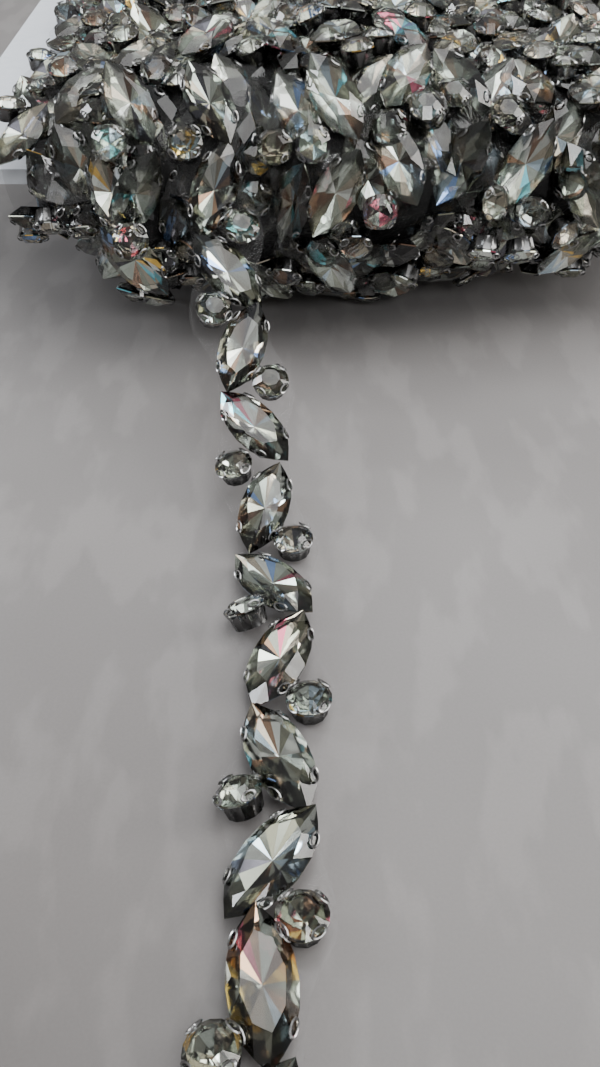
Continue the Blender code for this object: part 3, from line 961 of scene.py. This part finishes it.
def wound_strip(turn, x, course):
    steps = turn.stones() * STEPS_PER_STONE
    rows = []
    for step in range(steps + 1):
        share = (step % steps) / steps
        point, _, out = turn.place(share * turn.round)
        joint = share * turn.stones() + course
        row = []
        for reach in (-1, -0.5, 0, 0.5, 1):
            side = -1 if reach < 0 else 1
            wide = abs(reach) * scallop(joint, side)
            spot = point + Vector((x + side * wide + turn_sway(share, x), 0, 0))
            curl = WOUND_CURL * math.sin(joint * 2.3 + course) * abs(reach)
            rise = turn_rise(share, x, point) + curl
            if turn.inset == 0 and in_bed(spot):
                rise = -BED_FILM_SINK
            spot += out * rise
            spot.z = max(spot.z, LOWEST_FILM)
            row.append(spot)
        rows.append(row)
    return strip_mesh("wound_film_strip", rows, True)


strips = []
for course, x, turn in wound_turns():
    strips.append(wound_strip(turn, x, course))
for strip in strips:
    strip.data.materials.append(WOUND_FILM)

# %% Twisted flap
# Columns: x from and to, then y and z of the back edge and of the front edge
FLAP_ROWS = ((-60.5, -50, -68.5, 33.5, -76.0, 29.5),)


def film_flap(x_from, x_to, back_y, back_z, front_y, front_z):
    """A flap of doubled film that stands off the roll where a turn twisted over."""
    rows = []
    for share in np.linspace(0, 1, 19):
        row = []
        for reach in np.linspace(0, 1, 11):
            x = x_from + (x_to - x_from) * share
            y = back_y + (front_y - back_y) * reach
            z = back_z + (front_z - back_z) * reach
            bulge = 0.9 * math.sin(math.pi * reach) + 0.4 * math.sin(7.5 * share + reach)
            row.append(Vector((x, y, z + bulge)) * MM)
        rows.append(row)
    return strip_mesh("film_flap", rows, False)


for row in FLAP_ROWS:
    flap = film_flap(*row)
    flap.data.materials.append(SHADED_CLOUDED_FILM)
    strips.append(flap)
wound_film = join_all("wound_film", strips)

# %% [markdown]
# ## Inside the roll
# Between the three outer layers and the card lie the inner turns. They can't be seen apart
# from a dark shimmer between the stones, so one lumpy ring stands for them, finished near
# black as painted shade in the gaps.

# %% Inner turns
INNER_DEPTH = 8.5 * MM
INNER_STEPS = 120
INNER_HALF = 66 * MM
INNER_COLUMNS = 24
INNER_LUMP = 0.5 * MM


def inner_ring():
    """A ring of the inner turns: a grid wrapped round the sections, closed at the card."""
    last = INNER_COLUMNS - 1
    places = [-INNER_HALF + 2 * INNER_HALF * column / last for column in range(INNER_COLUMNS)]
    turns = [Turn(x, INNER_DEPTH) for x in places]
    core = Turn(0, FILM_HALF_THICKNESS)
    rows = []
    for step in range(INNER_STEPS + 1):
        share = (step % INNER_STEPS) / INNER_STEPS
        row = []
        for x, turn in zip(places, turns):
            point, _, out = turn.place(share * turn.round)
            lump = INNER_LUMP * math.sin(x * 900 + step * 1.7)
            row.append(point + out * lump + Vector((x, 0, 0)))
        near = core.point(share * core.round)
        for x in (INNER_HALF, 0.0, -INNER_HALF):
            row.append(near + Vector((x, 0, 0)))
        row.append(row[0].copy())
        rows.append(row)
    across = len(rows[0])
    bpy.ops.object.select_all(action="DESELECT")
    bpy.ops.mesh.primitive_grid_add(x_subdivisions=across - 1, y_subdivisions=INNER_STEPS, size=1)
    obj = bpy.context.object
    obj.name = "inner_turns"
    for vertex, point in zip(obj.data.vertices, [p for row in rows for p in row]):
        vertex.co = point
    bpy.ops.object.mode_set(mode="EDIT")
    bpy.ops.mesh.select_all(action="SELECT")
    bpy.ops.mesh.remove_doubles(threshold=TINY / 2)
    bpy.ops.mesh.normals_make_consistent(inside=False)
    bpy.ops.object.mode_set(mode="OBJECT")
    obj.data.materials.append(inner_turns())
    return obj


core = inner_ring()

# %% [markdown]
# ## The loose end
# The last turn leaves the roll, hangs over its front and lies along the surface towards
# the viewer. Its film is one strip with the same scallops, and each of its stones and
# settings is a piece of its own that takes the place of the solid there.

# %% The loose line
def loose_line():
    route = [Vector(row) * MM for row in LOOSE_ROUTE]
    route = [2 * route[0] - route[1], *route, 2 * route[-1] - route[-2]]
    points = []
    for before, start, end, after in zip(route, route[1:], route[2:], route[3:]):
        for t in np.linspace(0, 1, 25)[:-1]:
            point = 0.5 * (
                2 * start
                + (end - before) * t
                + (2 * before - 5 * start + 4 * end - after) * t**2
                + (3 * start - before - 3 * end + after) * t**3
            )
            point.z = max(point.z, 0.5 * MM)
            points.append(point)
    points.append(route[-2])
    points = np.array(points)
    lengths = np.concatenate([[0.0], np.cumsum(np.linalg.norm(np.diff(points, axis=0), axis=1))])
    return points, lengths


LINE, LINE_LENGTHS = loose_line()


def line_point(along):
    return Vector([np.interp(along, LINE_LENGTHS, LINE[:, axis]) for axis in range(3)])


def line_frame(along, reach=RUN_REACH):
    """Place, run, right hand side and up; lifted to the chord where the film is hollow."""
    place = line_point(along)
    ahead, behind = line_point(along + reach), line_point(along - reach)
    run = (ahead - behind).normalized()
    right = run.cross(Vector((0, 0, 1))).normalized()
    if right.x < 0:
        right.negate()
    up = right.cross(run)
    if up.z < 0:
        up.negate()
    hollow = ((ahead + behind) / 2 - place).dot(up)
    return place + up * max(hollow, 0.0), run, right, up


LOOSE_LENGTH = LINE_LENGTHS[-1]
print("loose end, in millimetres:", round(LOOSE_LENGTH / MM, 1))

# %% Loose film
def loose_strip():
    rows = []
    steps = round(LOOSE_LENGTH / LOOSE_STEP)
    for step in range(steps + 1):
        along = LOOSE_LENGTH * step / steps
        _, _, right, up = line_frame(along)
        place = line_point(along)
        joint = (along - FIRST_STONE) / PITCH - 0.5
        row = []
        for reach in (-1, -0.7, -0.35, 0, 0.35, 0.7, 1):
            side = -1 if reach < 0 else 1
            spot = place + right * (side * abs(reach) * scallop(joint, side))
            curl = LOOSE_CURL * max(0.0, math.sin(joint * 1.9 + side)) * abs(reach) ** 2
            row.append(spot + up * curl)
        rows.append(row)
    return strip_mesh("loose_film_strip", rows, False)


loose_film = loose_strip()
loose_film.data.materials.append(LOOSE_FILM)
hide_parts("loose_film")

# %% Loose stones and settings
FILM_TOP = 0.2 * MM
FOOT_REACH = {"oval": 6.8 * MM, "round": 2.75 * MM}
OVAL_TIP = 4
ROUND_TIP = (-3, -6)
loose_pieces = []

# Columns: an oval's lean in degrees, its slip along the line in millimetres, and the
# degrees that its far end is lifted
LOOSE_OVAL_ROWS = (
    (27, 0.3, 6),
    (-23, 0.0, 4),
    (34, 0.0, 5),
    (-28, -0.5, 7),
    (33, 0.0, -3),
    (-22, 1.0, 8),
    (38, 2.2, -3),
    (-26, 1.4, 6),
    (27, 2.4, 3),
    (-35, 1.7, 3),
    (11, 0.7, 4),
    (-28, 0.6, 0),
)

# The rounds that lean over: degrees to the left and towards the viewer
ROUND_TIPS = {1: (8, -8), 5: (12, -16), 7: (22, -36), 9: (20, -24), 11: (10, -10)}


def put_loose(kind, number, along, sideways, lean, tip):
    """Puts one stone and its setting on the loose film, as pieces of their own."""
    place, run, right, up = line_frame(along, FOOT_REACH[kind])
    long_way = run * math.cos(lean) + right * math.sin(lean)
    origin = place + right * sideways + up * FILM_TOP
    matrix = frame_matrix(origin, long_way, up) @ tilt(math.radians(tip[0]), math.radians(tip[1]))
    stone, cup = FINE_STONES[kind], FINE_CUPS[kind]
    matrix = kept_above(matrix, stone, cup)
    crystal = copy_of(stone, matrix)
    crystal.name = f"{kind}_crystal_{number:02d}"
    paint_facet_reflections(crystal, LOOSE_REFLECTION_DIM)
    setting = copy_of(cup, matrix)
    setting.name = f"{kind}_claw_cup_{number:02d}"
    for piece, node in ((crystal, "stone"), (setting, "setting")):
        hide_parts(f"{kind}_{node}_{number:02d}")
        loose_pieces.append(piece)


slips = [row[1] * MM for row in LOOSE_OVAL_ROWS]
for index, (lean, _, lift) in enumerate(LOOSE_OVAL_ROWS):
    side = 1 if index % 2 == 0 else -1
    tip = (float(chance.uniform(-OVAL_TIP, OVAL_TIP)), lift)
    along = FIRST_STONE + index * PITCH + slips[index]
    put_loose("oval", index + 1, along, 0.0, math.radians(lean), tip)
    if index < LOOSE_OVALS - 1:
        tip = ROUND_TIPS.get(index + 1, (ROUND_TIP[0] * side, ROUND_TIP[1]))
        along = FIRST_STONE + (index + 0.5) * PITCH + (slips[index] + slips[index + 1]) / 2
        put_loose("round", index + 1, along, -side * ROUND_OFFSET, 0.0, tip)

# %% [markdown]
# ## The card
# The card's solid has the right shape already, so it only needs its finish: a smooth
# white coated board with a faint bluish cast.

# %% Card
card = frame["nodes"]["card"]
card.data.materials.clear()
card.data.materials.append(white_board())

# %% [markdown]
# ## Put the pieces on the frame
# The masters go, and each piece rides on the one body there is.

# %% Ride
masters = [obj for obj in bpy.data.objects if obj.name.endswith("_master")]
for master in masters:
    bpy.data.objects.remove(master, do_unlink=True)
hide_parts("wound_trim")
for piece in (*wound.values(), wound_film, core, loose_film, *loose_pieces):
    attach(piece, "root")
